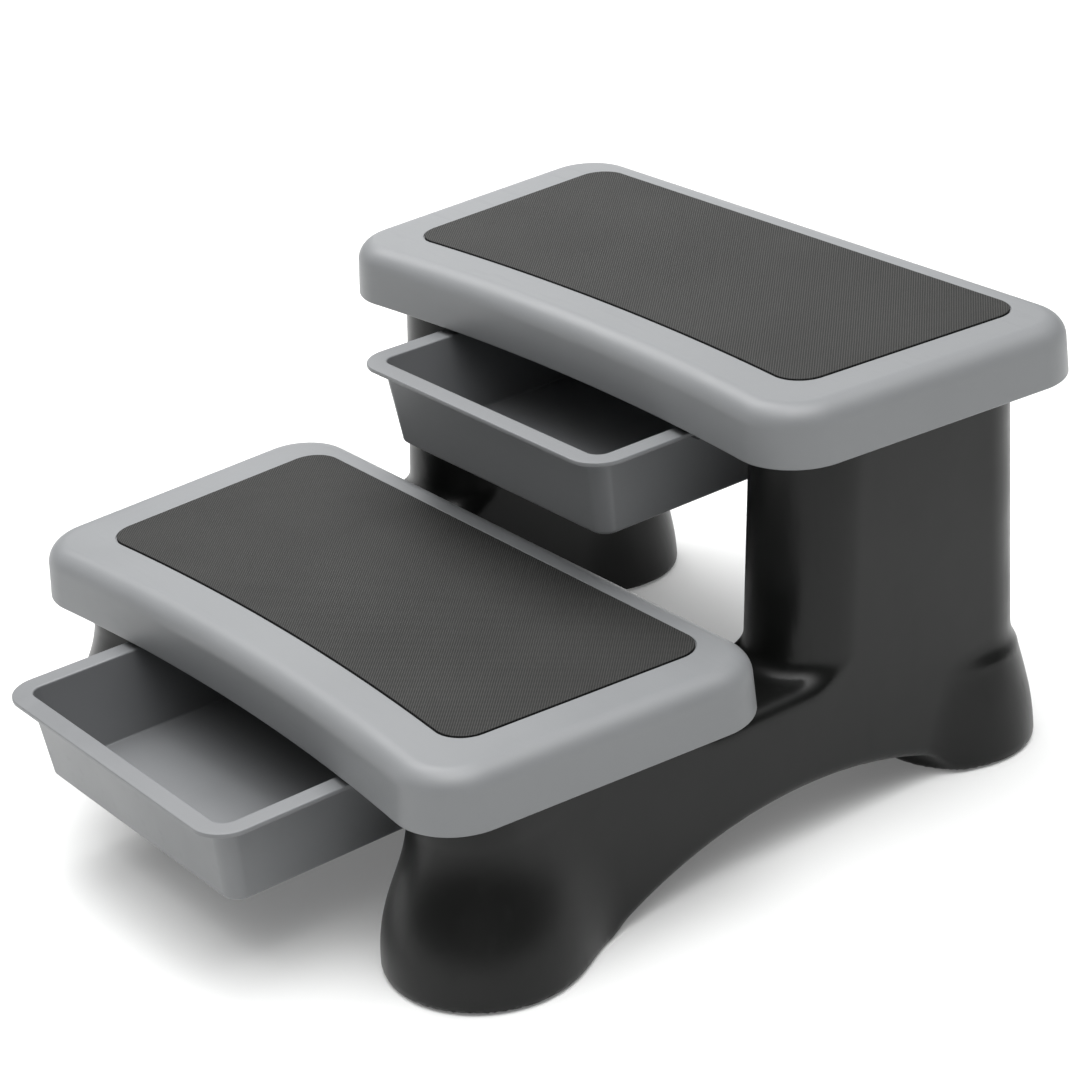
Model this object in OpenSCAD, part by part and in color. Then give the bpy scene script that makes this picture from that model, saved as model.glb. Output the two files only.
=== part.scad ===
// Two-step spa steps: two moulded side frames, two treads with anti-slip mats,
// and a drawer on rails under each tread, both drawn part open.
// The origin is on the floor, in the middle of the object's length and width.
// +X is to the right, +Y to the back and +Z up. All sizes are in millimetres.

/* [Steps] */
// Height of the lower tread above the floor
lower_step_h = 220; // [210:1:240]
// Rise from the lower tread to the upper tread
step_rise = 194; // [185:1:215]
// Distance by which the upper tread stands behind the lower tread
step_run = 374; // [366:1:390]

/* [Treads] */
// Width of a tread along its back edge
tread_w = 704; // [700:1:720]
// Depth of a tread, from its back edge to its front corners
tread_d = 344; // [336:1:350]
// Height of a tread, from the bottom of its skirt to its top
tread_h = 53; // [48:1:58]
// Wall thickness of a tread
tread_wall = 5; // [4:0.5:6]
// Corner radius of a tread, seen from above
tread_corner_r = 57; // [48:1:62]
// Radius of the rounded edge between the top and the skirt
tread_edge_r = 20; // [14:1:24]
// Depth of the hollow in the front edge, at its middle
tread_hollow = 16; // [8:1:20]
// Amount by which the skirt spreads towards its bottom
skirt_draft = 2; // [1:0.5:3]
// Narrowing of each side per millimetre towards the front
side_taper = 0.0718; // [0.05:0.001:0.08]

/* [Mats] */
// Width of a mat along its back edge
mat_w = 587; // [570:1:600]
// Depth of a mat, from its back edge to its front corners
mat_d = 251; // [245:1:258]
// Thickness of a mat
mat_t = 2.5; // [2:0.5:3.5]
// Depth of the recess that holds a mat
mat_recess = 1.5; // [1:0.5:2]
// Corner radius of a mat
mat_corner_r = 27; // [20:1:34]
// Distance from the back edge of a tread to its mat
mat_back_border = 33; // [30:1:38]

/* [Side frames] */
// Width of a side frame
frame_w = 117; // [110:1:122]
// Distance from the middle of the object to the middle of a frame
frame_x = 253.5; // [251:0.5:256]
// Depth of the rear column at its top
column_d = 264; // [255:1:270]
// Lean of the column's front, in degrees
column_lean = 4.8; // [0:0.2:6]
// Wall thickness of a frame
frame_wall = 5; // [4:0.5:6]
// Height of the saddle between the lower tread and the column
saddle_h = 150; // [140:1:155]
// Height of the arch under a frame
arch_h = 56; // [50:1:64]
// Length of the arch along the floor
arch_span = 426; // [400:1:430]
// Radius of the front foot on the floor
front_foot_r = 89; // [84:1:94]
// Radius of the rear foot on the floor
rear_foot_r = 76; // [72:1:82]

/* [Drawers] */
// Width of a drawer over its rim
drawer_w = 358; // [350:1:361]
// Length of a drawer over its rim
drawer_d = 300; // [280:1:302]
// Depth of a drawer, from its rim to its underside
drawer_h = 81; // [60:1:84]
// Distance by which the rim stands out past the tub
rim_w = 16; // [15:1:18]
// Thickness of the rim
rim_t = 4; // [3.5:0.5:5]
// Corner radius of the rim, seen from above
rim_corner_r = 32; // [28:1:36]
// Corner radius of the tub, seen from above
tub_corner_r = 16; // [12:1:20]
// Wall thickness of a drawer
drawer_wall = 3; // [2.5:0.5:4]
// Distance by which the lower drawer stands out at rest, past the tread's front corners
lower_drawer_out = 116; // [100:1:130]
// Distance by which the upper drawer stands out at rest, past the tread's front corners
upper_drawer_out = 86; // [70:1:130]

/* [Hidden] */

// Segments of a full circle
$fn = 64;
// Overlap that makes a cut run clean through a face
eps = 1;
// Points along a rounded corner, the hollow front edge and a rounded edge
corner_steps = 8;
front_steps = 14;
edge_steps = 5;

// Places of the treads: their tops, and their back edges
lower_top = lower_step_h;
upper_top = lower_step_h + step_rise;
object_len = step_run + tread_d + lower_drawer_out;
upper_back = object_len / 2;
lower_back = upper_back - step_run;

// A frame's top is this far below the top of the tread that rests on it
seat_drop = 15;
lower_seat = lower_top - seat_drop;
upper_seat = upper_top - seat_drop;
// Frame ends along Y, set in from the lips of the treads
frame_front = lower_back - tread_d + 31;
frame_back = upper_back - 35;
column_front = frame_back - column_d;
neck_back = lower_back - 15;
// The arch is a round arc whose top is this far back
arch_y = frame_front + 356;
arch_r = (arch_span * arch_span / 4 + arch_h * arch_h) / (2 * arch_h);
// The frames stand this far off the floor, on their pads
foot_gap = 1;
// Middles of the feet, their heights and their radii at the top of the flare
front_foot = [frame_x + 5, frame_front + 52];
front_foot_h = 148;
front_foot_top_r = 34;
rear_foot = [frame_x + 3.5, frame_back - 57];
rear_foot_h = 104;
rear_foot_top_r = 59;
foot_steps = 8;
pad_r = 42;
pad_t = 3;
pad_clearance = 0.4;

// Tread fasteners, two over each frame
screw_ys = [-93, -248];
screw_r = 2.95;
screw_len = 30;
screw_head_r = 6.5;
screw_head_h = 3.3;
screw_hole_r = 3.5;
counterbore_r = 8.2;
counterbore_h = 5;
washer_r = 7.5;
washer_t = 1.2;
tread_boss_r = 16;
frame_boss_r = 12;
frame_boss_h = 35;
screw_pocket_h = 25;
insert_r = 4.5;
insert_bore_r = 3;
insert_h = 12;
fit_gap = 0.05;

// Ribs under the deck of a tread
rib_t = 3;
rib_h = 15;
rib_xs = [-90, 0, 90];
rib_ys = [-115, -230];
rib_ends = [-294, -34];
seat_rib_half = 48;

// Drawer rim and rail, measured down from the top of a tread
rim_drop = 60;
slide_gap = 0.4;
side_gap = 0.6;
rail_t = 3;
rail_half = drawer_w / 2 + side_gap;
rail_shelf = 12;
rail_flange_x = 148;
rail_ys = [-318, -12];
rail_hole_x = 156;
rail_hole_ys = [-285, -165, -45];
rail_boss_r = 7;
rail_hole_r = 2.3;
rail_screw_r = 1.9;
rail_screw_len = 12;
rail_screw_head_r = 4;
rail_screw_head_h = 2.6;
rail_pilot_r = 2;
// Travel of a drawer from fully closed to fully open, and the catches that end it
drawer_travel = 222;
catch_w = 8;
catch_h = 8;
catch_d = 12;
catch_gap = 0.5;
// Rim front of a closed drawer, behind the front corners of its tread
closed_inset = 16;

drawer_draft = 8;
drawer_edge_r = 9;

frame_color = "#2b2c2e";
tread_color = "#a6a8ab";
mat_color = "#4b4c4b";
drawer_color = "#94969a";
rail_color = "#3a3b3d";
steel_color = "#b9bcc0";
brass_color = "#c9a24b";
rubber_color = "#191919";

// Points on an arc from one angle to another, both ends included
function arc_points(centre, radius, from, to, steps) =
    [for (i = [0:steps]) let (a = from + (to - from) * i / steps) centre + radius * [cos(a), sin(a)]];

// Outline of a tread or a mat, counterclockwise: a straight back on y = 0, sides that close in
// towards the front, and a hollow front edge. inset moves every edge inwards by one distance.
function plan_outline(width, depth, corner_r, hollow, inset) =
    let (
        lean = atan(side_taper),
        side_shift = corner_r * sqrt(1 + side_taper * side_taper),
        back = [width / 2 - side_taper * corner_r - side_shift, -corner_r],
        front = [width / 2 - side_taper * (depth - corner_r) - side_shift, corner_r - depth],
        lift = corner_r - hollow,
        front_r = (front.x * front.x + lift * lift - corner_r * corner_r) / (2 * hollow),
        swing = asin(front.x / (front_r + corner_r)),
        front_arc = arc_points([0, hollow - depth - front_r], front_r + inset,
                               90 + swing, 90 - swing, front_steps),
        r = corner_r - inset
    )
    concat(
        [for (i = [1:front_steps - 1]) front_arc[i]],
        arc_points(front, r, -90 - swing, -lean, corner_steps),
        arc_points(back, r, -lean, 90, corner_steps),
        arc_points([-back.x, back.y], r, 90, 180 + lean, corner_steps),
        arc_points([-front.x, front.y], r, 180 + lean, 270 + swing, corner_steps)
    );

function tread_outline(inset) = plan_outline(tread_w, tread_d, tread_corner_r, tread_hollow, inset);

// Outline of a drawer seen from above, counterclockwise, with its rim's front edge on y = 0
function drawer_outline(inset, r) =
    let (
        x = drawer_w / 2 - inset - r,
        front = inset + r,
        back = drawer_d - inset - r
    )
    concat(
        arc_points([x, front], r, -90, 0, corner_steps),
        arc_points([x, back], r, 0, 90, corner_steps),
        arc_points([-x, back], r, 90, 180, corner_steps),
        arc_points([-x, front], r, 180, 270, corner_steps)
    );

// Mean of an outline's points, which every ray from there to the outline lies inside
function middle(outline) = [for (p = outline) 1] * outline / len(outline);

// Solid through outlines stacked from the lowest up, all with the same number of points
module loft(outlines, heights) {
    n = len(outlines[0]);
    top = len(heights) - 1;
    rings = [for (i = [0:top]) for (p = outlines[i]) [p.x, p.y, heights[i]]];
    bottom_middle = middle(outlines[0]);
    top_middle = middle(outlines[top]);
    middles = [
        [bottom_middle.x, bottom_middle.y, heights[0]],
        [top_middle.x, top_middle.y, heights[top]]
    ];
    sides = [
        for (i = [0:top - 1])
            for (j = [0:n - 1])
                let (low = i * n, high = low + n, next = (j + 1) % n)
                each [[low + j, high + j, high + next], [low + j, high + next, low + next]]
    ];
    caps = [
        for (j = [0:n - 1])
            let (next = (j + 1) % n)
            each [[j, next, len(rings)], [top * n + next, top * n + j, len(rings) + 1]]
    ];
    polyhedron(concat(rings, middles), concat(sides, caps));
}

// Solid of a tread without its recess, at z = 0 on top. inset is 0 for the skin and the wall
// thickness for the cavity, which opens downwards past the bottom of the skirt.
module tread_solid(inset, bottom) {
    edge_r = tread_edge_r - inset;
    edge_angles = [for (i = [0:edge_steps]) 90 * i / edge_steps];
    insets = concat(
        [inset],
        [for (a = edge_angles) inset + skirt_draft + edge_r * (1 - cos(a))]
    );
    heights = concat([bottom], [for (a = edge_angles) edge_r * sin(a) - tread_edge_r]);
    loft([for (d = insets) tread_outline(d)], heights);
}

module at_tread_screws() {
    for (side = [-1, 1])
        for (y = screw_ys)
            translate([side * frame_x, y, 0]) children();
}

module at_rail_screws() {
    for (side = [-1, 1])
        for (y = rail_hole_ys)
            translate([side * rail_hole_x, y, 0]) children();
}

module tread_ribs() {
    rib_len = rib_ends[1] - rib_ends[0];
    for (x = rib_xs)
        translate([x - rib_t / 2, rib_ends[0], -tread_wall - rib_h]) cube([rib_t, rib_len, rib_h + eps]);
    for (y = rib_ys)
        translate([-rail_flange_x, y - rib_t / 2, -tread_wall - rib_h])
            cube([2 * rail_flange_x, rib_t, rib_h + eps]);
}

// Posts that carry the tread on its frames and hold the rail screws
module tread_bosses() {
    boss_h = seat_drop - tread_wall + eps;
    at_tread_screws() translate([0, 0, -seat_drop]) cylinder(r = tread_boss_r, h = boss_h);
    at_tread_screws()
        translate([-seat_rib_half, -rib_t / 2, -seat_drop]) cube([2 * seat_rib_half, rib_t, boss_h]);
    at_rail_screws() translate([0, 0, -seat_drop]) cylinder(r = rail_boss_r, h = boss_h);
}

module mat_plan(gap) {
    translate([0, -mat_back_border])
        polygon(plan_outline(mat_w, mat_d, mat_corner_r, tread_hollow - 4, -gap));
}

module tread() {
    color(tread_color)
        difference() {
            union() {
                difference() {
                    tread_solid(0, -tread_h);
                    tread_solid(tread_wall, -tread_h - eps);
                }
                tread_ribs();
                tread_bosses();
            }
            translate([0, 0, -mat_recess]) linear_extrude(mat_recess + eps) mat_plan(pad_clearance);
            at_tread_screws()
                translate([0, 0, -mat_recess - counterbore_h])
                    cylinder(r = counterbore_r, h = counterbore_h + eps);
            at_tread_screws()
                translate([0, 0, -seat_drop - eps]) cylinder(r = screw_hole_r, h = seat_drop);
            at_rail_screws()
                translate([0, 0, -seat_drop - eps])
                    cylinder(r = rail_pilot_r, h = rail_screw_len - rail_t + eps + 0.5);
        }
}

module mat() {
    color(mat_color)
        translate([0, 0, -mat_recess]) linear_extrude(mat_t) mat_plan(0);
}

// Slab with round ends, seen from above
module frame_plan(front_y, back_y, inset) {
    end_r = frame_w / 2 - inset;
    straight = back_y - front_y - frame_w;
    for (y = [front_y + frame_w / 2, back_y - frame_w / 2])
        translate([frame_x, y]) circle(end_r);
    translate([frame_x - end_r, front_y + frame_w / 2]) square([2 * end_r, straight]);
}

module frame_slab(front_y, back_y, bottom, top, inset) {
    translate([0, 0, bottom]) linear_extrude(top - bottom) frame_plan(front_y, back_y, inset);
}

// Column that is upright at the back and whose round front leans forward towards the floor
module column(bottom, top, inset) {
    end_r = frame_w / 2 - inset;
    back_axis = frame_back - frame_w / 2;
    front_axis = column_front + frame_w / 2;
    front_axis_low = front_axis - (upper_seat - bottom) * tan(column_lean);
    translate([frame_x, back_axis, bottom]) cylinder(r = end_r, h = top - bottom);
    intersection() {
        union() {
            translate([frame_x, front_axis, upper_seat])
                rotate([-column_lean, 0, 0])
                    translate([0, 0, -upper_seat]) cylinder(r = end_r, h = upper_seat + frame_w);
            translate([frame_x - end_r, 0, 0])
                rotate([90, 0, 90])
                    linear_extrude(2 * end_r)
                        polygon([
                            [front_axis_low, bottom], [back_axis, bottom],
                            [back_axis, upper_seat], [front_axis, upper_seat]
                        ]);
        }
        translate([0, 0, bottom]) cube([2 * frame_x, frame_back, top - bottom]);
    }
}

// Bell-shaped foot: upright at the floor, and closing in towards the frame
module foot(centre, floor_r, top_r, height, inset) {
    bell = [
        for (i = [0:foot_steps])
            let (z = foot_gap + inset + (height - foot_gap - inset) * i / foot_steps)
            [floor_r - inset - (floor_r - top_r) * pow(z / height, 2), z]
    ];
    translate([centre.x, centre.y, 0])
        rotate_extrude()
            polygon(concat([[0, foot_gap + inset]], bell, [[0, height]]));
}

// Solid of the right frame, whose skin is moved inwards by inset
module frame_solid(inset) {
    difference() {
        frame_slab(frame_front, frame_back, foot_gap + inset, saddle_h - inset, inset);
        translate([0, arch_y, arch_h - arch_r])
            rotate([0, 90, 0]) cylinder(r = arch_r + inset, h = 2 * frame_x, $fn = 180);
    }
    frame_slab(frame_front, neck_back, saddle_h - inset, lower_seat - inset, inset);
    column(saddle_h - inset, upper_seat - inset, inset);
    foot(front_foot, front_foot_r, front_foot_top_r, front_foot_h, inset);
    foot(rear_foot, rear_foot_r, rear_foot_top_r, rear_foot_h, inset);
}

module at_frame_bosses() {
    for (y = screw_ys) {
        translate([frame_x, lower_back + y, lower_seat]) children();
        translate([frame_x, upper_back + y, upper_seat]) children();
    }
}

module at_pads() {
    for (centre = [front_foot, rear_foot])
        translate([centre.x, centre.y, 0]) children();
}

module frame() {
    color(frame_color)
        difference() {
            frame_solid(0);
            difference() {
                frame_solid(frame_wall);
                at_frame_bosses()
                    translate([0, 0, -frame_boss_h]) cylinder(r = frame_boss_r, h = frame_boss_h);
            }
            at_frame_bosses()
                translate([0, 0, -insert_h]) cylinder(r = insert_r + fit_gap, h = insert_h + eps);
            at_frame_bosses()
                translate([0, 0, -screw_pocket_h]) cylinder(r = screw_hole_r, h = screw_pocket_h);
            at_pads() cylinder(r = pad_r + pad_clearance, h = pad_t);
        }
}

module frame_inserts() {
    color(brass_color)
        at_frame_bosses()
            translate([0, 0, -insert_h])
                difference() {
                    cylinder(r = insert_r, h = insert_h);
                    translate([0, 0, -eps]) cylinder(r = insert_bore_r, h = insert_h + 2 * eps);
                }
}

module pad(centre) {
    color(rubber_color) translate([centre.x, centre.y, 0]) cylinder(r = pad_r, h = pad_t);
}

module tread_washers() {
    color(steel_color)
        at_tread_screws()
            translate([0, 0, -mat_recess - counterbore_h])
                difference() {
                    cylinder(r = washer_r, h = washer_t);
                    translate([0, 0, -eps]) cylinder(r = screw_r + fit_gap, h = washer_t + 2 * eps);
                }
}

module tread_screws() {
    color(steel_color)
        at_tread_screws()
            translate([0, 0, washer_t - mat_recess - counterbore_h]) {
                cylinder(r = screw_head_r, h = screw_head_h);
                translate([0, 0, -screw_len]) cylinder(r = screw_r, h = screw_len + eps);
            }
}

// Section of the right rail, seen from the front: a channel round the drawer's rim,
// hung from a flange that is screwed to the tread
module rail_section() {
    outer = rail_half + rail_t;
    inner = rail_half - rail_shelf;
    slot_top = slide_gap - rim_drop;
    slot_bottom = -rim_drop - rim_t - slide_gap;
    polygon([
        [outer, -seat_drop], [rail_flange_x, -seat_drop],
        [rail_flange_x, -seat_drop - rail_t], [rail_half, -seat_drop - rail_t],
        [rail_half, slot_top + rail_t], [inner, slot_top + rail_t],
        [inner, slot_top], [rail_half, slot_top],
        [rail_half, slot_bottom], [inner, slot_bottom],
        [inner, slot_bottom - rail_t], [outer, slot_bottom - rail_t]
    ]);
}

// Right rail of a tread, with the stop that meets a closed drawer and the one for an open drawer
module rail() {
    closed_back = drawer_d - tread_d + closed_inset;
    inner = rail_half - rail_shelf;
    slot_bottom = -rim_drop - rim_t - slide_gap;
    open_stop_y = closed_back - drawer_travel - catch_d - catch_gap;
    color(rail_color)
        difference() {
            union() {
                translate([0, rail_ys[1], 0])
                    rotate([90, 0, 0]) linear_extrude(rail_ys[1] - rail_ys[0]) rail_section();
                translate([inner, closed_back + catch_gap, slot_bottom - rail_t])
                    cube([rail_shelf + rail_t, rail_ys[1] - closed_back - catch_gap, rim_t + 2 * rail_t]);
                translate([inner - catch_w - 2, open_stop_y - catch_d, catch_gap - rim_drop])
                    cube([catch_w + 3, catch_d, catch_h + 4]);
            }
            for (y = rail_hole_ys)
                translate([rail_hole_x, y, -seat_drop - rail_t - eps])
                    cylinder(r = rail_hole_r, h = rail_t + 2 * eps);
        }
}

module rail_screws() {
    color(steel_color)
        at_rail_screws()
            translate([0, 0, -seat_drop - rail_t]) {
                translate([0, 0, -rail_screw_head_h])
                    cylinder(r = rail_screw_head_r, h = rail_screw_head_h);
                translate([0, 0, -eps]) cylinder(r = rail_screw_r, h = rail_screw_len + eps);
            }
}

// Tub of a drawer below its rim. inset moves its skin inwards.
module tub_solid(inset, top) {
    edge_r = drawer_edge_r - inset;
    edge_angles = [for (i = [edge_steps:-1:0]) 90 * i / edge_steps];
    insets = concat(
        [for (a = edge_angles) rim_w + drawer_draft + inset + edge_r * (1 - cos(a))],
        [rim_w + inset]
    );
    heights = concat(
        [for (a = edge_angles) drawer_edge_r - drawer_h - edge_r * sin(a)],
        [top]
    );
    loft([for (d = insets) drawer_outline(d, tub_corner_r - inset)], heights);
}

// Drawer with its rim's front edge on y = 0 and its rim's top at z = 0
module drawer() {
    color(drawer_color)
        difference() {
            union() {
                translate([0, 0, -rim_t]) linear_extrude(rim_t) polygon(drawer_outline(0, rim_corner_r));
                tub_solid(0, -rim_t / 2);
                for (side = [-1, 1])
                    translate([side * (rail_half - rail_shelf - catch_w / 2 - 1) - catch_w / 2,
                               drawer_d - catch_d, -rim_t])
                        cube([catch_w, catch_d, rim_t + catch_h]);
            }
            tub_solid(drawer_wall, eps);
        }
}

module in_lower_tread() {
    translate([0, lower_back, lower_top]) children();
}

module in_upper_tread() {
    translate([0, upper_back, upper_top]) children();
}

module placed_drawer(out) {
    translate([0, -tread_d - out, -rim_drop]) drawer();
}

module left() {
    mirror([1, 0, 0]) children();
}

left() frame();  // left_frame
frame();  // right_frame
in_lower_tread() tread();  // lower_tread
in_upper_tread() tread();  // upper_tread
in_lower_tread() mat();  // lower_mat
in_upper_tread() mat();  // upper_mat
in_lower_tread() placed_drawer(lower_drawer_out);  // lower_drawer
in_upper_tread() placed_drawer(upper_drawer_out);  // upper_drawer
in_lower_tread() left() rail();  // lower_left_rail
in_lower_tread() rail();  // lower_right_rail
in_upper_tread() left() rail();  // upper_left_rail
in_upper_tread() rail();  // upper_right_rail
in_lower_tread() tread_screws();  // lower_tread_screws
in_upper_tread() tread_screws();  // upper_tread_screws
in_lower_tread() tread_washers();  // lower_tread_washers
in_upper_tread() tread_washers();  // upper_tread_washers
left() frame_inserts();  // left_frame_inserts
frame_inserts();  // right_frame_inserts
in_lower_tread() rail_screws();  // lower_rail_screws
in_upper_tread() rail_screws();  // upper_rail_screws
left() pad(front_foot);  // left_front_pad
left() pad(rear_foot);  // left_rear_pad
pad(front_foot);  // right_front_pad
pad(rear_foot);  // right_rear_pad
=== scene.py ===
"""Looks of the two-step spa steps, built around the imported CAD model.

Metres throughout, in the CAD model's frame: the origin is on the floor, +X is to the right,
+Y to the back and +Z up. Treads, mats, drawers and side frames get finely rounded pieces;
rails, screws, washers, inserts and pads stay as CAD nodes with better materials.
"""

import math

import bmesh
import bpy
import numpy as np
from mathutils import Matrix, Vector


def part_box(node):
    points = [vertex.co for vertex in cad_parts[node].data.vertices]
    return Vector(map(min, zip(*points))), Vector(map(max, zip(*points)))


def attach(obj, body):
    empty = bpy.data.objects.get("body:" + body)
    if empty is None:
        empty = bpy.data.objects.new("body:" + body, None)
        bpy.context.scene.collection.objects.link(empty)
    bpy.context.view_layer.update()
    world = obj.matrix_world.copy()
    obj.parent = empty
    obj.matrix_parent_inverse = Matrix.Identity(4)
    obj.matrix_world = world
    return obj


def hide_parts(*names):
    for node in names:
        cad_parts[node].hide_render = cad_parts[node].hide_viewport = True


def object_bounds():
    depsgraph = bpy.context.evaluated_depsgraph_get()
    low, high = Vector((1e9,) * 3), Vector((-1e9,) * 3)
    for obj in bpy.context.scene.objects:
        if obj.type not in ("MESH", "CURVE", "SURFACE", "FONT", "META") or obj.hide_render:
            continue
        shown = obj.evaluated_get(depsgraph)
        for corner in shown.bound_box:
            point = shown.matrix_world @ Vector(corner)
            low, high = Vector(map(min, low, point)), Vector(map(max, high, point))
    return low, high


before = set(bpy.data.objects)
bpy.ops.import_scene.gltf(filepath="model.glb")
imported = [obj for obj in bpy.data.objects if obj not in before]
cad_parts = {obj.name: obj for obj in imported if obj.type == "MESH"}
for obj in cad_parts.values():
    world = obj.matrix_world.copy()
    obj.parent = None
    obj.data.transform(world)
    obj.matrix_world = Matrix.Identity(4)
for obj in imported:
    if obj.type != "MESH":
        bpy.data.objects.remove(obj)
CAD_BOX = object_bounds()

# Steps of the finely rounded shapes, and the narrow flat that runs beside a rounded edge
CORNER_STEPS = 20
FRONT_STEPS = 48
EDGE_STEPS = 14
SMALL_STEPS = 6
BORE_STEPS = 40
SUPPORT = 0.0015

# Treads and mats, seen from above
TREAD_W = 0.7036
TREAD_CORNER_R = 0.057
TREAD_HOLLOW = 0.016
SIDE_TAPER = 0.0718
MAT_W = 0.587
MAT_D = 0.251
MAT_CORNER_R = 0.027
MAT_HOLLOW = 0.012
MAT_BACK_BORDER = 0.033

# Treads and mats, in section
TREAD_WALL = 0.005
TREAD_EDGE_R = 0.020
SKIRT_DRAFT = 0.002
LIP_R = 0.0018
MAT_RECESS = 0.0015
MAT_GAP = 0.0010
MAT_T = 0.0025
MAT_EDGE_R = 0.0007

# Ribs, bosses and holes under a tread
RIB_T = 0.003
RIB_H = 0.015
RIB_XS = (-0.090, 0.0, 0.090)
RIB_YS = (-0.115, -0.230)
RIB_ENDS = (-0.294, -0.034)
CROSS_RIB_HALF = 0.148
SEAT_DROP = 0.015
SEAT_RIB_HALF = 0.048
SCREW_YS = (-0.093, -0.248)
SCREW_BOSS_R = 0.016
COUNTERBORE_R = 0.0082
COUNTERBORE_H = 0.005
SCREW_HOLE_R = 0.0035
RAIL_SCREW_X = 0.156
RAIL_SCREW_YS = (-0.285, -0.165, -0.045)
RAIL_BOSS_R = 0.007
PILOT_R = 0.002
PILOT_TOP = -0.0055

# Side frames. PAST_THE_ENDS is how far a slab runs on where only its sides count.
FRAME_X = 0.2535
FRAME_W = 0.117
PAST_THE_ENDS = 0.120
FRAME_FRONT_INSET = 0.031
FRAME_BACK_INSET = 0.035
NECK_INSET = 0.015
COLUMN_D = 0.264
COLUMN_LEAN = math.tan(math.radians(4.75))
SADDLE_H = 0.150
ARCH_H = 0.056
ARCH_SPAN = 0.426
ARCH_Y = 0.3565
FRONT_FOOT = {"floor_r": 0.0887, "top_r": 0.0135, "height": 0.1325, "power": 2.48}
REAR_FOOT = {"floor_r": 0.0760, "top_r": 0.0557, "height": 0.0915, "power": 2.16}
FOOT_GAP = 0.001
FRAME_EDGE_R = 0.006
SADDLE_EDGE_R = 0.014
COLUMN_BLEND = 0.020
FRONT_FOOT_BLEND = 0.035
REAR_FOOT_BLEND = 0.026
ARCH_BLEND = 0.008
NECK_BLEND = 0.006
PAD_RECESS_R = 0.0424
PAD_T = 0.003
INSERT_R = 0.00455
INSERT_H = 0.012
POCKET_H = 0.025

# Mesh of the side frames: its cells, the room around them, and how far apart and how steep
# the distance is at least when a point is moved onto the surface
NET_STEP = 0.004
NET_MARGIN = 0.012
PROBE_SHARE = 0.05
LEAST_SLOPE = 0.2

# Drawers
RIM_W = 0.016
RIM_T = 0.004
RIM_CORNER_R = 0.032
RIM_TOP_R = 0.0010
RIM_FOOT_R = 0.0006
RIM_INNER_R = 0.0016
UNDER_RIM_R = 0.0015
DRAWER_WALL = 0.003
DRAWER_DRAFT = 0.008
DRAWER_EDGE_R = 0.0045
TUB_CORNER_R = 0.016
CATCH_X = 0.1626
CATCH_SIZE = (0.008, 0.012, 0.008)

# Camera: the direction that it looks from, its roll, and the point that it looks at
CAMERA_AZIMUTH = 54.067
CAMERA_ELEVATION = 25.352
CAMERA_ROLL = -4.317
CAMERA_DISTANCE = 2.680
CAMERA_TARGET = (0.0224, 0.0395, 0.2178)
CAMERA_LENS = 98.31
CAMERA_SENSOR = 36.0

# Light: where it is strongest, how fast it fades away from there, and how strong it is
LIGHT_TOWARDS = (0.08, -0.04, 1.0)
LIGHT_FALLOFF = 7.0
LIGHT_ABOVE = 7.1
LIGHT_AROUND = 0.02
BACK_LIGHT = {"place": (-2.6, 2.1, 1.3), "size": 2.0, "power": 13.0}
KEY_LIGHT = {"place": (-1.25, 0.1, 2.1), "size": 1.3, "power": 29.0}

SHARP_ANGLE = math.radians(38)
WEAVE_PITCH = 0.0030
FLOOR_HALF = 25.0
# Painted light: how strongly the floor glows, which lifts the shadows on it
FLOOR_GLOW = 0.14


# ---------------------------------------------------------------- outlines


def arc(centre, radius, start, end, steps):
    """Points on an arc between two angles in degrees, both ends included."""
    angles = np.radians(np.linspace(start, end, steps + 1))
    return np.array(centre) + radius * np.stack([np.cos(angles), np.sin(angles)], axis=1)


def plan_outline(width, depth, corner_r, hollow, inset):
    """Outline of a tread or mat with its back edge on y = 0: sides that close in towards the
    front, and a hollow front edge. inset moves every edge inwards by one distance."""
    lean = math.degrees(math.atan(SIDE_TAPER))
    side_shift = corner_r * math.hypot(1, SIDE_TAPER)
    back = (width / 2 - SIDE_TAPER * corner_r - side_shift, -corner_r)
    front = (width / 2 - SIDE_TAPER * (depth - corner_r) - side_shift, corner_r - depth)
    lift = corner_r - hollow
    front_r = (front[0] ** 2 + lift**2 - corner_r**2) / (2 * hollow)
    swing = math.degrees(math.asin(front[0] / (front_r + corner_r)))
    front_arc = arc((0, hollow - depth - front_r), front_r + inset, 90 + swing, 90 - swing, FRONT_STEPS)
    r = corner_r - inset
    return np.concatenate(
        [
            front_arc[1:-1],
            arc(front, r, -90 - swing, -lean, CORNER_STEPS),
            arc(back, r, -lean, 90, CORNER_STEPS),
            arc((-back[0], back[1]), r, 90, 180 + lean, CORNER_STEPS),
            arc((-front[0], front[1]), r, 180 + lean, 270 + swing, CORNER_STEPS),
        ]
    )


def tread_outline(depth, inset):
    return plan_outline(TREAD_W, depth, TREAD_CORNER_R, TREAD_HOLLOW, inset)


def mat_outline(inset):
    outline = plan_outline(MAT_W, MAT_D, MAT_CORNER_R, MAT_HOLLOW, inset)
    return outline - (0, MAT_BACK_BORDER)


def drawer_outline(half_width, depth, inset, r):
    """Outline of a drawer seen from above, with its rim's front edge on y = 0."""
    x = half_width - inset - r
    front = inset + r
    back = depth - inset - r
    return np.concatenate(
        [
            arc((x, front), r, -90, 0, CORNER_STEPS),
            arc((x, back), r, 0, 90, CORNER_STEPS),
            arc((-x, back), r, 90, 180, CORNER_STEPS),
            arc((-x, front), r, 180, 270, CORNER_STEPS),
        ]
    )


def ring(outline, origin, height):
    """An outline at a height, placed from an origin."""
    heights = np.full((len(outline), 1), height)
    return np.hstack([outline, heights]) + np.array(origin)


# ---------------------------------------------------------------- meshes


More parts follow.
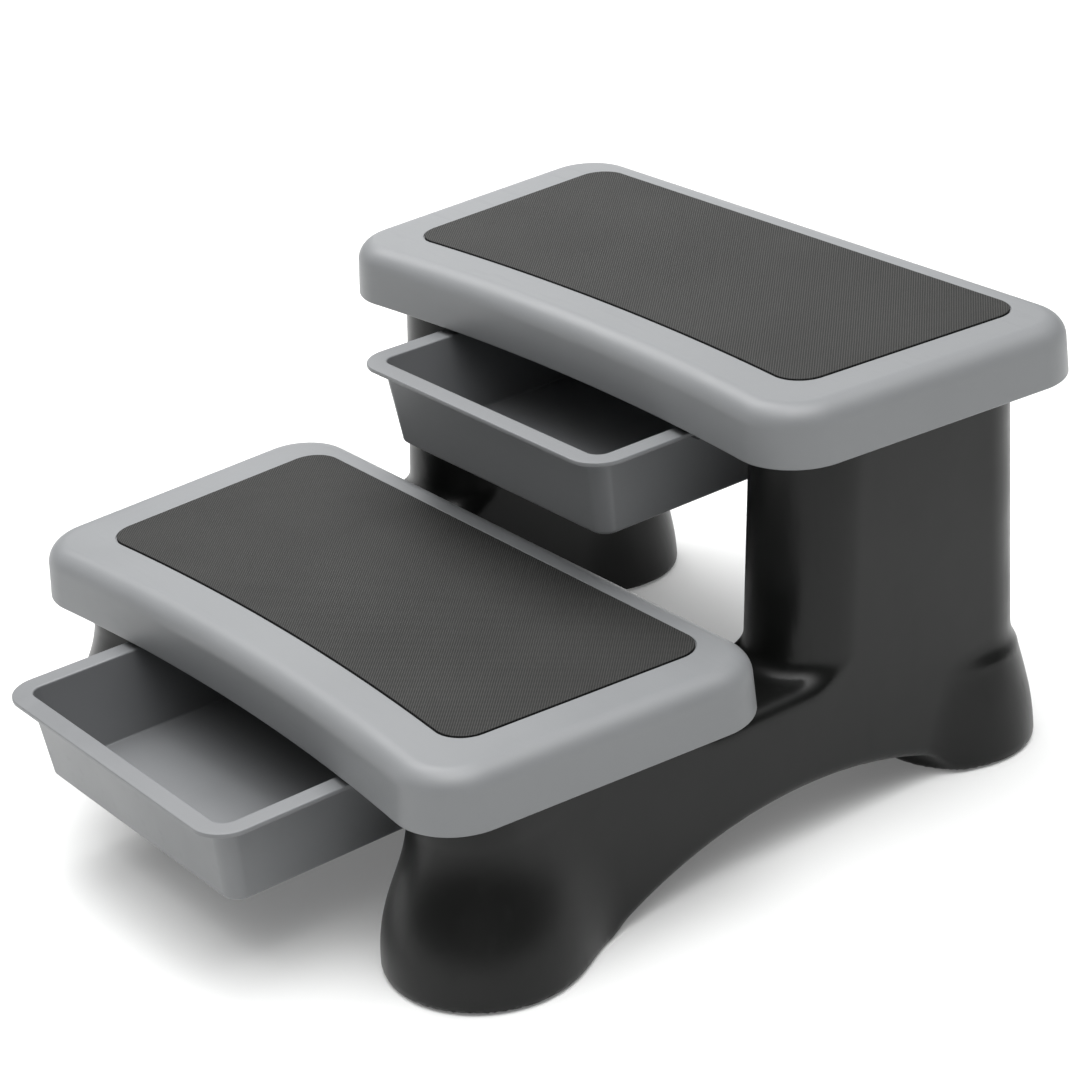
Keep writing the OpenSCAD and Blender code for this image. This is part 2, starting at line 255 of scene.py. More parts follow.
def mesh_piece(name, vertices, faces):
    """Object with that mesh, its faces turned outwards."""
    mesh = bpy.data.meshes.new(name)
    mesh.from_pydata([tuple(v) for v in vertices], [], [tuple(f) for f in faces])
    piece = bpy.data.objects.new(name, mesh)
    bpy.context.scene.collection.objects.link(piece)
    outward = bmesh.new()
    outward.from_mesh(mesh)
    bmesh.ops.recalc_face_normals(outward, faces=outward.faces)
    outward.to_mesh(mesh)
    outward.free()
    return piece


def loft(name, rings):
    """Closed mesh through rings of points, with a fan over the first ring and the last."""
    n = len(rings[0])
    last = (len(rings) - 1) * n
    centres = [rings[0].mean(axis=0), rings[-1].mean(axis=0)]
    vertices = np.concatenate([*rings, centres])
    faces = []
    for j in range(n):
        k = (j + 1) % n
        for low in range(0, last, n):
            faces.append((low + j, low + k, low + n + k, low + n + j))
        faces.append((len(vertices) - 2, k, j))
        faces.append((len(vertices) - 1, last + j, last + k))
    return mesh_piece(name, vertices, faces)


def cylinders(centres, radius, low, high):
    """Upright cylinders with those centres, between two heights, as one object."""
    shape = bmesh.new()
    for x, y in centres:
        place = Matrix.Translation((x, y, (low + high) / 2))
        bmesh.ops.create_cone(
            shape, cap_ends=True, segments=BORE_STEPS, radius1=radius, radius2=radius,
            depth=high - low, matrix=place,
        )
    return from_bmesh("cylinders", shape)


def blocks(boxes):
    """Boxes, each from its lowest corner to its highest, as one object."""
    shape = bmesh.new()
    for low, high in boxes:
        low, high = Vector(low), Vector(high)
        size = Matrix.Diagonal((*(high - low), 1))
        bmesh.ops.create_cube(shape, size=1, matrix=Matrix.Translation((low + high) / 2) @ size)
    return from_bmesh("blocks", shape)


def from_bmesh(name, shape):
    mesh = bpy.data.meshes.new(name)
    shape.to_mesh(mesh)
    shape.free()
    piece = bpy.data.objects.new(name, mesh)
    bpy.context.scene.collection.objects.link(piece)
    return piece


def combine(piece, tool, operation):
    """Adds the tool's solid to the piece, or cuts it away, and removes the tool."""
    modifier = piece.modifiers.new("combine", "BOOLEAN")
    modifier.operation = operation
    modifier.solver = "MANIFOLD"
    modifier.object = tool
    bpy.context.view_layer.update()
    evaluated = piece.evaluated_get(bpy.context.evaluated_depsgraph_get())
    made = bpy.data.meshes.new_from_object(evaluated)
    piece.modifiers.clear()
    made.name = piece.name
    piece.data = made
    bpy.data.objects.remove(tool)


def finish_piece(piece, material, body, slot, *nodes):
    """Smooths the piece but for its sharp edges, and puts it in the place of its CAD nodes."""
    piece.data.materials.clear()
    piece.data.materials.append(material)
    piece.data.shade_smooth()
    piece.data.set_sharp_from_angle(angle=SHARP_ANGLE)
    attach(piece, body)
    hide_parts(*nodes)
    return piece


# ---------------------------------------------------------------- treads and mats


def tread_profile(height):
    """Inset and height of a tread's section, from under its deck, round its lip, to its top."""
    edge = SKIRT_DRAFT + TREAD_EDGE_R
    lip = LIP_R - height
    return np.concatenate(
        [
            [(edge + SUPPORT, -TREAD_WALL)],
            arc((edge, -TREAD_EDGE_R), TREAD_EDGE_R - TREAD_WALL, 90, 180, EDGE_STEPS),
            arc((TREAD_WALL - LIP_R, lip), LIP_R, 0, -90, SMALL_STEPS),
            arc((LIP_R, lip), LIP_R, -90, -180, SMALL_STEPS),
            arc((edge, -TREAD_EDGE_R), TREAD_EDGE_R, 180, 90, EDGE_STEPS),
            [(edge + SUPPORT, 0)],
        ]
    )


def recess_profile():
    """Inset and height of the recess that holds a mat, measured from the mat's outline."""
    return np.concatenate(
        [
            [(-MAT_GAP - MAT_EDGE_R - SUPPORT, 0)],
            arc((-MAT_GAP - MAT_EDGE_R, -MAT_EDGE_R), MAT_EDGE_R, 90, 0, SMALL_STEPS),
            [(-MAT_GAP, -MAT_RECESS)],
        ]
    )


def on_both_sides(x, ys):
    return [(side * x, y) for side in (-1, 1) for y in ys]


def place(points, back):
    return [(x, y + back) for x, y in points]


def add_ribs(tread, back, top):
    """Ribs under the deck, and the posts that stand on the frames and hold the rail screws."""
    deck = top - TREAD_WALL + RIB_T / 2
    rib_low = top - TREAD_WALL - RIB_H
    seat = top - SEAT_DROP
    half = RIB_T / 2
    long_ribs = [
        ((x - half, back + RIB_ENDS[0], rib_low), (x + half, back + RIB_ENDS[1], deck))
        for x in RIB_XS
    ]
    cross_ribs = [
        ((-CROSS_RIB_HALF, back + y - half, rib_low), (CROSS_RIB_HALF, back + y + half, deck))
        for y in RIB_YS
    ]
    seat_ribs = [
        ((x - SEAT_RIB_HALF, back + y - half, seat), (x + SEAT_RIB_HALF, back + y + half, deck))
        for x, y in on_both_sides(FRAME_X, SCREW_YS)
    ]
    for rib in long_ribs + cross_ribs + seat_ribs:
        combine(tread, blocks([rib]), "UNION")
    screws = place(on_both_sides(FRAME_X, SCREW_YS), back)
    combine(tread, cylinders(screws, SCREW_BOSS_R, seat, deck), "UNION")
    rail_screws = place(on_both_sides(RAIL_SCREW_X, RAIL_SCREW_YS), back)
    combine(tread, cylinders(rail_screws, RAIL_BOSS_R, seat, deck), "UNION")


def cut_tread_holes(tread, back, top):
    """Counterbores and holes for the frame screws, and blind holes for the rail screws."""
    screws = place(on_both_sides(FRAME_X, SCREW_YS), back)
    rail_screws = place(on_both_sides(RAIL_SCREW_X, RAIL_SCREW_YS), back)
    below = top - SEAT_DROP - SUPPORT
    counterbore = top - MAT_RECESS - COUNTERBORE_H
    combine(tread, cylinders(screws, COUNTERBORE_R, counterbore, top + SUPPORT), "DIFFERENCE")
    combine(tread, cylinders(screws, SCREW_HOLE_R, below, top), "DIFFERENCE")
    combine(tread, cylinders(rail_screws, PILOT_R, below, top + PILOT_TOP), "DIFFERENCE")


def make_tread(level, material):
    low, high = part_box(f"{level}_tread")
    depth = high.y - low.y
    origin = (0, high.y, high.z)
    skin = [ring(tread_outline(depth, i), origin, z) for i, z in tread_profile(high.z - low.z)]
    recess = [ring(mat_outline(i), origin, z) for i, z in recess_profile()]
    tread = loft(f"{level}_tread_moulding", skin + recess)
    add_ribs(tread, high.y, high.z)
    cut_tread_holes(tread, high.y, high.z)
    return finish_piece(tread, material, "steps", "tread", f"{level}_tread")


def make_mat(level, material):
    """Mat with a softly rounded top edge, on the floor of its recess."""
    tread_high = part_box(f"{level}_tread")[1]
    mat_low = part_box(f"{level}_mat")[0]
    origin = (0, tread_high.y, mat_low.z)
    section = np.concatenate(
        [
            [(SUPPORT, 0), (0, 0)],
            arc((MAT_EDGE_R, MAT_T - MAT_EDGE_R), MAT_EDGE_R, 180, 90, SMALL_STEPS),
            [(SUPPORT, MAT_T)],
        ]
    )
    mat = loft(f"{level}_mat_sheet", [ring(mat_outline(i), origin, z) for i, z in section])
    return finish_piece(mat, material, "steps", "mat", f"{level}_mat")


# ---------------------------------------------------------------- drawers


def drawer_profile(height):
    """Inset, height and corner radius of a drawer's section, from its floor inside, over the
    rim, to its underside."""
    opening = RIM_W + DRAWER_WALL
    tub_foot = RIM_W + DRAWER_DRAFT
    inner_r = DRAWER_EDGE_R - DRAWER_WALL
    turn = (tub_foot + DRAWER_EDGE_R, DRAWER_EDGE_R - height)
    inner_corner = TUB_CORNER_R - DRAWER_WALL
    inner_turn = arc(turn, inner_r, 270, 180, SMALL_STEPS)
    outer_turn = arc(turn, DRAWER_EDGE_R, 180, 270, EDGE_STEPS)
    inside = [(*p, inner_corner - (p[0] - tub_foot - DRAWER_WALL)) for p in inner_turn]
    rim = np.concatenate(
        [
            arc((opening - RIM_INNER_R, -RIM_INNER_R), RIM_INNER_R, 0, 90, SMALL_STEPS),
            [(opening - RIM_INNER_R - SUPPORT, 0), (RIM_TOP_R + SUPPORT, 0)],
            arc((RIM_TOP_R, -RIM_TOP_R), RIM_TOP_R, 90, 180, SMALL_STEPS),
            arc((RIM_FOOT_R, RIM_FOOT_R - RIM_T), RIM_FOOT_R, 180, 270, SMALL_STEPS),
            arc((RIM_W - UNDER_RIM_R, -RIM_T - UNDER_RIM_R), UNDER_RIM_R, 90, 0, SMALL_STEPS),
        ]
    )
    over = [(*p, RIM_CORNER_R - p[0]) for p in rim]
    outside = [(*p, TUB_CORNER_R - (p[0] - tub_foot)) for p in outer_turn]
    floor = (inside[0][0] + SUPPORT, DRAWER_WALL - height, inside[0][2] - SUPPORT)
    underside = (outside[-1][0] + SUPPORT, -height, outside[-1][2] - SUPPORT)
    return [floor, *inside, *over, *outside, underside]


def make_drawer(level, material):
    low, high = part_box(f"{level}_drawer")
    half_width = (high.x - low.x) / 2
    depth = high.y - low.y
    rim_top = high.z - CATCH_SIZE[2]
    origin = (0, low.y, rim_top)
    rings = [
        ring(drawer_outline(half_width, depth, inset, r), origin, z)
        for inset, z, r in drawer_profile(rim_top - low.z)
    ]
    drawer = loft(f"{level}_drawer_tub", rings)
    for side in (-1, 1):
        x = side * CATCH_X
        corner = (x - CATCH_SIZE[0] / 2, high.y - CATCH_SIZE[1], rim_top - RIM_T / 2)
        catch = blocks([(corner, (x + CATCH_SIZE[0] / 2, high.y, high.z))])
        combine(drawer, catch, "UNION")
    body = f"{level}_drawer"
    return finish_piece(drawer, material, body, body, body)


# ---------------------------------------------------------------- side frames


def smooth_min(a, b, blend):
    """The smaller of two distances, rounded over where they are close."""
    share = np.clip(0.5 + 0.5 * (b - a) / blend, 0, 1)
    return b + (a - b) * share - blend * share * (1 - share)


def smooth_max(a, b, blend):
    return -smooth_min(-a, -b, blend)


def round_box_distance(flat, upright, edge_r):
    """Distance to a solid from its distance in plan and in height, its edges rounded."""
    outside = np.hypot(np.maximum(flat, 0), np.maximum(upright, 0))
    return np.minimum(np.maximum(flat, upright), 0) + outside - edge_r


def slab_distance(p, front, back, low, high, edge_r):
    """Distance to an upright slab with round ends. front may differ from point to point."""
    half = FRAME_W / 2
    nearest = np.clip(p[:, 1], front + half, back - half)
    flat = np.hypot(p[:, 0] - FRAME_X, p[:, 1] - nearest) - (half - edge_r)
    upright = np.maximum(low + edge_r - p[:, 2], p[:, 2] - (high - edge_r))
    return round_box_distance(flat, upright, edge_r)


def foot_distance(p, foot):
    """Distance to a bell-shaped foot that is upright at the floor."""
    share = np.clip(p[:, 2] / foot["height"], 0, 1)
    power = foot["power"]
    spread = foot["floor_r"] - foot["top_r"]
    slope = power * spread * share ** (power - 1) / foot["height"]
    reach = np.hypot(p[:, 0] - foot["x"], p[:, 1] - foot["y"])
    flat = (reach - foot["floor_r"] + spread * share**power) / np.hypot(1, slope)
    above = np.maximum(p[:, 2] - foot["height"], 0)
    return np.hypot(np.maximum(flat, 0), above) + np.minimum(flat, 0)


def frame_places():
    """Places of the right frame's features, from the treads that stand on it."""
    lower_low, lower_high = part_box("lower_tread")
    upper_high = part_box("upper_tread")[1]
    front = lower_low.y + FRAME_FRONT_INSET
    back = upper_high.y - FRAME_BACK_INSET
    pads = [sum(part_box(f"right_{end}_pad"), Vector()) / 2 for end in ("front", "rear")]
    return {
        "front": front,
        "back": back,
        "neck_back": lower_high.y - NECK_INSET,
        "column_front": back - COLUMN_D,
        "arch_y": front + ARCH_Y,
        "lower_seat": lower_high.z - SEAT_DROP,
        "upper_seat": upper_high.z - SEAT_DROP,
        "pads": [(pad.x, pad.y) for pad in pads],
        "front_foot": {**FRONT_FOOT, "x": pads[0].x, "y": pads[0].y},
        "rear_foot": {**REAR_FOOT, "x": pads[1].x, "y": pads[1].y},
        "lower_back": lower_high.y,
        "upper_back": upper_high.y,
    }


def frame_distance(p, at):
    """Distance to the right frame: a slab with an arch under it, a neck, a column and feet.
    The slab, the neck and the column keep flush sides where their joins are rounded."""
    arch_r = (ARCH_SPAN**2 / 4 + ARCH_H**2) / (2 * ARCH_H)
    arch = arch_r - np.hypot(p[:, 1] - at["arch_y"], p[:, 2] - (ARCH_H - arch_r))
    below = -PAST_THE_ENDS
    above = at["upper_seat"] + PAST_THE_ENDS
    base = slab_distance(p, at["front"], at["back"], below, SADDLE_H, SADDLE_EDGE_R)
    base = smooth_max(base, arch, ARCH_BLEND)
    column_front = at["column_front"] - COLUMN_LEAN * (at["upper_seat"] - p[:, 2])
    column = slab_distance(p, column_front, at["back"], SADDLE_H / 2, at["upper_seat"], FRAME_EDGE_R)
    neck = slab_distance(p, at["front"], at["neck_back"], SADDLE_H / 2, at["lower_seat"], FRAME_EDGE_R)
    flush = slab_distance(p, at["front"], at["back"], below, above, FRAME_EDGE_R)
    solid = smooth_min(base, column, COLUMN_BLEND)
    solid = smooth_min(solid, neck, NECK_BLEND)
    solid = np.maximum(solid, flush)
    solid = smooth_min(solid, foot_distance(p, at["front_foot"]), FRONT_FOOT_BLEND)
    solid = smooth_min(solid, foot_distance(p, at["rear_foot"]), REAR_FOOT_BLEND)
    return smooth_max(solid, FOOT_GAP - p[:, 2], FRAME_EDGE_R)


def edge_crossings(values, axis):
    """Grid edges along an axis that the surface crosses: their cells, where, and which way."""
    first = np.moveaxis(values, axis, 0)[:-1]
    second = np.moveaxis(values, axis, 0)[1:]
    first, second = np.moveaxis(first, 0, axis), np.moveaxis(second, 0, axis)
    crossed = (first < 0) != (second < 0)
    share = first[crossed] / (first[crossed] - second[crossed])
    return np.argwhere(crossed), share, first[crossed] < 0


def surface_net(distance, low, high, step):
    """Quad mesh of the surface where a distance is zero: one vertex in each crossed cell,
    then moved onto the surface."""
    axes = [np.arange(a, b + step, step) for a, b in zip(low, high)]
    grid = np.stack(np.meshgrid(*axes, indexing="ij"), axis=-1)
    values = distance(grid.reshape(-1, 3)).reshape(grid.shape[:3])
    total = np.zeros(grid.shape)
    count = np.zeros(grid.shape[:3])
    rings = []
    for axis in range(3):
        cells, share, leaving = edge_crossings(values, axis)
        points = cells.astype(float)
        points[:, axis] += share
        u, v = [i for i in range(3) if i != axis]
        corners = []
        for du, dv in ((0, 0), (-1, 0), (-1, -1), (0, -1)):
            corner = cells.copy()
            corner[:, u] += du
            corner[:, v] += dv
            np.add.at(total, tuple(corner.T), points)
            np.add.at(count, tuple(corner.T), 1)
            corners.append(corner)
        rings.append((corners, leaving ^ (axis == 1)))
    used = count > 0
    number = np.full(used.shape, -1)
    number[used] = np.arange(used.sum())
    vertices = total[used] / count[used][:, None] * step + np.array(low)
    faces = []
    for corners, turned in rings:
        quads = np.stack([number[tuple(c.T)] for c in corners], axis=1)
        quads[~turned] = quads[~turned][:, ::-1]
        faces.append(quads)
    return onto_surface(distance, vertices, step), np.concatenate(faces)


def onto_surface(distance, points, reach, rounds=3):
    """Points moved along the distance's slope until it is zero."""
    probe = reach * PROBE_SHARE
    shifts = probe * np.eye(3)
    for _ in range(rounds):
        slope = np.stack([distance(points + s) - distance(points - s) for s in shifts], axis=1)
        slope /= 2 * probe
        length = np.maximum((slope**2).sum(axis=1), LEAST_SLOPE)
        points = points - np.clip(distance(points) / length, -reach, reach)[:, None] * slope
    return points


def cut_frame_recesses(piece, side, at):
    """Recesses for the pads under the feet, and the bores of the threaded inserts."""
    pads = [(side * x, y) for x, y in at["pads"]]
    combine(piece, cylinders(pads, PAD_RECESS_R, -PAD_T, PAD_T), "DIFFERENCE")
    for level in ("lower", "upper"):
        bores = [(side * FRAME_X, at[f"{level}_back"] + y) for y in SCREW_YS]
        seat = at[f"{level}_seat"]
        combine(piece, cylinders(bores, INSERT_R, seat - INSERT_H, seat + SUPPORT), "DIFFERENCE")
        combine(piece, cylinders(bores, SCREW_HOLE_R, seat - POCKET_H, seat), "DIFFERENCE")


def make_frames(material):
    at = frame_places()
    low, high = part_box("right_frame")
    margin = Vector((NET_MARGIN,) * 3)
    vertices, faces = surface_net(lambda p: frame_distance(p, at), low - margin, high + margin, NET_STEP)
    for name, side in (("right", 1), ("left", -1)):
        piece = mesh_piece(f"{name}_frame_moulding", vertices * (side, 1, 1), faces)
        cut_frame_recesses(piece, side, at)
        finish_piece(piece, material, "steps", "frame", f"{name}_frame")


# ---------------------------------------------------------------- materials


class Finish:
    """A material on one Principled shader, with short calls for the nodes that vary it."""

    def __init__(self, name, color, roughness, metallic=0.0, specular=0.5):
        self.material = bpy.data.materials.new(name)
        self.material.use_nodes = True
        self.tree = self.material.node_tree
        self.shader = self.tree.nodes["Principled BSDF"]
        self.color = (*color, 1)
        self.roughness = roughness
        self.shader.inputs["Base Color"].default_value = self.color
        self.shader.inputs["Roughness"].default_value = roughness
        self.shader.inputs["Metallic"].default_value = metallic
        self.shader.inputs["Specular IOR Level"].default_value = specular
        self.place = self.add("ShaderNodeTexCoord").outputs["Object"]

    def add(self, kind, inputs=None, **settings):
        node = self.tree.nodes.new(kind)
        for key, value in settings.items():
            setattr(node, key, value)
        for key, value in (inputs or {}).items():
            if isinstance(value, bpy.types.NodeSocket):
                self.tree.links.new(value, node.inputs[key])
            else:
                node.inputs[key].default_value = value
        return node

    def noise(self, scale, detail=3.0, stretch=(1, 1, 1)):
        """Noise of that many features a metre, stretched along the axes."""
        mapping = self.add("ShaderNodeMapping", {"Vector": self.place, "Scale": stretch})
        inputs = {"Vector": mapping.outputs[0], "Scale": scale, "Detail": detail}
        return self.add("ShaderNodeTexNoise", inputs).outputs[0]

    def spread(self, value, low, high, out_low, out_high):
        """value's range from low to high, spread over another range."""
        inputs = {0: value, 1: low, 2: high, 3: out_low, 4: out_high}
        return self.add("ShaderNodeMapRange", inputs).outputs[0]

    def math(self, operation, a, b=0.0):
        return self.add("ShaderNodeMath", {0: a, 1: b}, operation=operation).outputs[0]

    def mix(self, share, first, second):
        inputs = {0: share, 6: first, 7: second}
        return self.add("ShaderNodeMix", inputs, data_type="RGBA").outputs[2]

    def drive(self, socket, value):
        self.tree.links.new(value, self.shader.inputs[socket])

    def bump(self, height, distance, normal=None):
        inputs = {"Height": height, "Distance": distance, "Strength": 1.0}
        if normal is not None:
            inputs["Normal"] = normal
        made = self.add("ShaderNodeBump", inputs).outputs[0]
        self.drive("Normal", made)
        return made


def shade(color, factor):
    return (*(c * factor for c in color[:3]), 1)


def mottle(finish, amount):
    """Colour that drifts slightly over the moulding, with lighter worn edges."""
    cloud = finish.noise(7.0, 4.0)
    varied = finish.mix(
        finish.spread(cloud, 0.3, 0.7, 0.0, 1.0),
        shade(finish.color, 1 - amount),
        shade(finish.color, 1 + amount),
    )
    edges = finish.add("ShaderNodeNewGeometry").outputs["Pointiness"]
    rubbed = finish.math("MULTIPLY", finish.spread(edges, 0.53, 0.62, 0.0, 0.35), finish.noise(60.0, 4.0))
    return finish.mix(rubbed, varied, shade(finish.color, 1.35))


def grain(finish, fine, fine_depth, coarse, coarse_depth):
    """Fine moulded grain over a slow waviness of the surface."""
    waves = finish.bump(finish.noise(coarse, 2.0), coarse_depth)
    return finish.bump(finish.noise(fine, 2.0), fine_depth, waves)


def scuffs(finish, amount, stretch):
    """Roughness that varies in patches and along faint rubbed lines."""
    patches = finish.spread(finish.noise(14.0, 5.0), 0.3, 0.7, -amount, amount)
    lines = finish.spread(finish.noise(90.0, 4.0, stretch), 0.58, 0.72, 0.0, amount)
    rough = finish.math("ADD", finish.math("ADD", patches, lines), finish.roughness)
    finish.drive("Roughness", rough)


def tread_plastic():
    finish = Finish("tread_plastic", (0.195, 0.201, 0.207), 0.42, specular=0.4)
    finish.drive("Base Color", mottle(finish, 0.02))
    scuffs(finish, 0.06, (0.15, 1.0, 1.0))
    grain(finish, 1300.0, 0.00003, 22.0, 0.0003)
    return finish.material


def drawer_plastic():
    finish = Finish("drawer_plastic", (0.172, 0.177, 0.183), 0.36, specular=0.4)
    finish.drive("Base Color", mottle(finish, 0.02))
    scuffs(finish, 0.05, (1.0, 0.12, 1.0))
    grain(finish, 1500.0, 0.00002, 18.0, 0.0002)
    return finish.material


def frame_plastic():
    """Charcoal moulding with a fine grain, and a little dust where it meets the floor."""
    finish = Finish("frame_plastic", (0.0048, 0.0051, 0.0048), 0.34, specular=0.26)
    colour = mottle(finish, 0.05)
    height = finish.add("ShaderNodeSeparateXYZ", {0: finish.place}).outputs[2]
    dust = finish.math("MULTIPLY", finish.spread(height, 0.0, 0.035, 0.25, 0.0), finish.noise(45.0, 5.0))
    finish.drive("Base Color", finish.mix(dust, colour, shade(finish.color, 3.0)))
    scuffs(finish, 0.05, (1.0, 1.0, 0.12))
    grain(finish, 1100.0, 0.00004, 16.0, 0.0004)
    return finish.material


def mat_weave():
    """Dark foam sheet embossed with a fine weave of short raised bars, with shade painted along its edge,
    where its surface turns away from facing up.
    """
    finish = Finish("mat_weave", (0.020, 0.0202, 0.0192), 0.62, specular=0.3)
    x, y, _ = finish.add("ShaderNodeSeparateXYZ", {0: finish.place}).outputs
    turns = 2 * math.pi / WEAVE_PITCH
    across = finish.math("SINE", finish.math("MULTIPLY", x, turns))
    along = finish.math("SINE", finish.math("MULTIPLY", y, turns))
    weave = finish.spread(finish.math("MULTIPLY", across, along), -0.4, 0.4, 0.0, 1.0)
    fibre = finish.noise(2600.0, 2.0)
    worn = finish.spread(finish.noise(9.0, 4.0), 0.35, 0.7, 0.92, 1.1)
    # painted shade: where the surface turns from facing up, round the mat's edge, flat darkens the
    # colour, and strength carries this into the base colour
    normal = finish.add("ShaderNodeNewGeometry").outputs["Normal"]
    upward = finish.add("ShaderNodeSeparateXYZ", {0: normal}).outputs[2]
    flat = finish.spread(upward, 0.75, 0.98, 0.1, 1.0)
    woven = finish.mix(weave, shade(finish.color, 0.45), shade(finish.color, 1.7))
    strength = finish.math("MULTIPLY", worn, flat)
    weave_with_painted_edge_shade = finish.add("ShaderNodeVectorMath", {0: woven, 1: strength}, operation="MULTIPLY").outputs[0]
    finish.drive("Base Color", weave_with_painted_edge_shade)
    finish.drive("Roughness", finish.spread(weave, 0.0, 1.0, 0.8, 0.5))
    rough = finish.bump(fibre, 0.00005)
    finish.bump(weave, 0.0003, rough)
    return finish.material


def rail_plastic():
    """Dark slide with long rub marks along the drawer's travel."""
    finish = Finish("rail_plastic", (0.05, 0.051, 0.054), 0.42)
    marks = finish.spread(finish.noise(160.0, 4.0, (1.0, 0.03, 1.0)), 0.5, 0.7, 0.0, 0.6)
    finish.drive("Base Color", finish.mix(marks, finish.color, shade(finish.color, 1.8)))
    finish.drive("Roughness", finish.spread(marks, 0.0, 0.6, 0.45, 0.3))
    grain(finish, 1400.0, 0.00003, 30.0, 0.0001)
    return finish.material


def screw_steel():
    """Bright zinc-plated steel with fine turning marks."""
    finish = Finish("screw_steel", (0.56, 0.57, 0.58), 0.30, metallic=1.0)
    turning = finish.noise(900.0, 4.0, (1.0, 1.0, 6.0))
    stain = finish.spread(finish.noise(140.0, 4.0), 0.4, 0.7, 0.0, 0.3)
    finish.drive("Base Color", finish.mix(stain, finish.color, shade(finish.color, 0.72)))
    finish.drive("Roughness", finish.spread(turning, 0.3, 0.7, 0.24, 0.42))
    finish.bump(turning, 0.00002)
    return finish.material


def insert_brass():
    """Brass with a diamond knurl round its outside."""
    finish = Finish("insert_brass", (0.78, 0.60, 0.30), 0.32, metallic=1.0)
    knurl = finish.add(
        "ShaderNodeTexWave", {"Vector": finish.place, "Scale": 260.0}, bands_direction="DIAGONAL"
    ).outputs[1]
    tarnish = finish.spread(finish.noise(160.0, 4.0), 0.4, 0.7, 0.0, 0.5)
    finish.drive("Base Color", finish.mix(tarnish, finish.color, shade(finish.color, 0.6)))
    finish.drive("Roughness", finish.spread(tarnish, 0.0, 0.5, 0.28, 0.5))
    finish.bump(knurl, 0.0002)
    return finish.material


def pad_rubber():
    """Black rubber with a pebbled, dusty surface."""
    finish = Finish("pad_rubber", (0.02, 0.02, 0.02), 0.8)
    pebbles = finish.add("ShaderNodeTexVoronoi", {"Vector": finish.place, "Scale": 700.0}).outputs[0]
    dust = finish.spread(finish.noise(80.0, 5.0), 0.4, 0.75, 0.0, 0.7)
    finish.drive("Base Color", finish.mix(dust, finish.color, shade(finish.color, 3.5)))
    finish.drive("Roughness", finish.spread(dust, 0.0, 0.7, 0.7, 0.92))
    finish.bump(pebbles, 0.0002)
    return finish.material


def floor_paint():
    """Near-white studio floor with a faint tooth, and a faint glow of its own: painted light that lifts
    the shadows on it.
    """
    finish = Finish("floor_paint", (0.72, 0.725, 0.72), 0.75, specular=0.1)
    cloud = finish.spread(finish.noise(1.5, 3.0), 0.3, 0.7, 0.0, 1.0)
    finish.drive("Base Color", finish.mix(cloud, shade(finish.color, 0.995), shade(finish.color, 1.005)))
    finish.bump(finish.noise(500.0, 2.0), 0.00005)
    # painted light: the floor glows a little, which lifts the shadows cast on it
    finish.shader.inputs["Emission Color"].default_value = (1.0, 1.0, 1.0, 1)
    finish.shader.inputs["Emission Strength"].default_value = FLOOR_GLOW
    return finish.material


def paint_nodes(material, *endings):
    """Gives that material to every CAD node that is still shown and has one of the endings."""
    for name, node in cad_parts.items():
        if name.endswith(endings) and not node.hide_render:
            node.data.materials.clear()
            node.data.materials.append(material)


# ---------------------------------------------------------------- stage


def make_camera():
    azimuth, elevation = math.radians(CAMERA_AZIMUTH), math.radians(CAMERA_ELEVATION)
    back = Vector(
        (
            math.sin(azimuth) * math.cos(elevation),
            -math.cos(azimuth) * math.cos(elevation),
            math.sin(elevation),
        )
    )
    level = Vector((math.cos(azimuth), math.sin(azimuth), 0))
    axes = Matrix((level, back.cross(level), back)).transposed()
    data = bpy.data.cameras.new("camera")
    data.lens = CAMERA_LENS
    data.sensor_width = CAMERA_SENSOR
    camera = bpy.data.objects.new("camera", data)
    turned = axes @ Matrix.Rotation(math.radians(CAMERA_ROLL), 3, "Z")
    place = Vector(CAMERA_TARGET) + back * CAMERA_DISTANCE
    camera.matrix_world = Matrix.Translation(place) @ turned.to_4x4()
    bpy.context.scene.collection.objects.link(camera)
    bpy.context.scene.camera = camera


def make_floor():
    half = FLOOR_HALF
    corners = [(-half, -half, 0), (half, -half, 0), (half, half, 0), (-half, half, 0)]
    floor = mesh_piece("floor", corners, [(0, 1, 2, 3)])
    floor.data.materials.append(floor_paint())


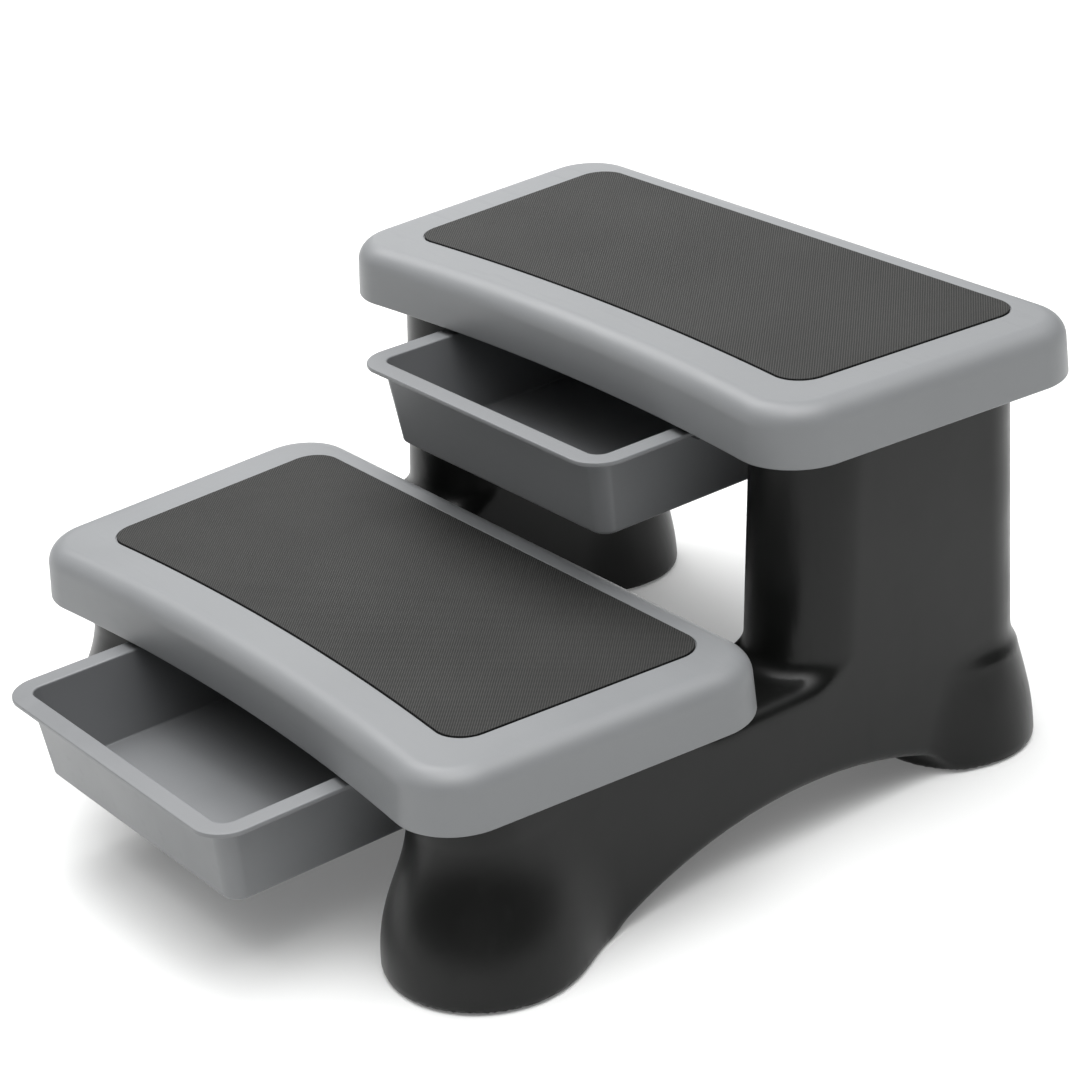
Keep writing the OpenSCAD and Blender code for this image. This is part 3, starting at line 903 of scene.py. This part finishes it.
def soft_light(name, place, size, power):
    """Square soft light that faces the steps."""
    data = bpy.data.lights.new(name, "AREA")
    data.size = size
    data.energy = power
    light = bpy.data.objects.new(name, data)
    away = Vector(place) - (CAD_BOX[0] + CAD_BOX[1]) / 2
    turn = away.to_track_quat("Z", "Y").to_matrix().to_4x4()
    light.matrix_world = Matrix.Translation(place) @ turn
    bpy.context.scene.collection.objects.link(light)


def make_sky():
    """Soft light from above that fades out towards the horizon."""
    world = bpy.data.worlds.new("studio")
    world.use_nodes = True
    tree = world.node_tree
    towards = tree.nodes.new("ShaderNodeTexCoord").outputs["Generated"]
    facing = tree.nodes.new("ShaderNodeVectorMath")
    facing.operation = "DOT_PRODUCT"
    facing.inputs[1].default_value = Vector(LIGHT_TOWARDS).normalized()
    tree.links.new(towards, facing.inputs[0])
    above = tree.nodes.new("ShaderNodeMath")
    above.operation = "MAXIMUM"
    tree.links.new(facing.outputs["Value"], above.inputs[0])
    falloff = tree.nodes.new("ShaderNodeMath")
    falloff.operation = "POWER"
    falloff.inputs[1].default_value = LIGHT_FALLOFF
    tree.links.new(above.outputs[0], falloff.inputs[0])
    strength = tree.nodes.new("ShaderNodeMath")
    strength.operation = "MULTIPLY_ADD"
    strength.inputs[1].default_value = LIGHT_ABOVE
    strength.inputs[2].default_value = LIGHT_AROUND
    tree.links.new(falloff.outputs[0], strength.inputs[0])
    background = tree.nodes["Background"]
    background.inputs["Color"].default_value = (1.0, 1.0, 1.0, 1)
    tree.links.new(strength.outputs[0], background.inputs["Strength"])
    bpy.context.scene.world = world
    bpy.context.scene.view_settings.view_transform = "Standard"


def build():
    make_camera()
    make_floor()
    make_sky()
    soft_light("back_light", **BACK_LIGHT)
    soft_light("key_light", **KEY_LIGHT)
    tread, mat, drawer = tread_plastic(), mat_weave(), drawer_plastic()
    for level in ("lower", "upper"):
        make_tread(level, tread)
        make_mat(level, mat)
        make_drawer(level, drawer)
    make_frames(frame_plastic())
    paint_nodes(rail_plastic(), "rail")
    paint_nodes(screw_steel(), "screws", "washers")
    paint_nodes(insert_brass(), "inserts")
    paint_nodes(pad_rubber(), "pad")


build()
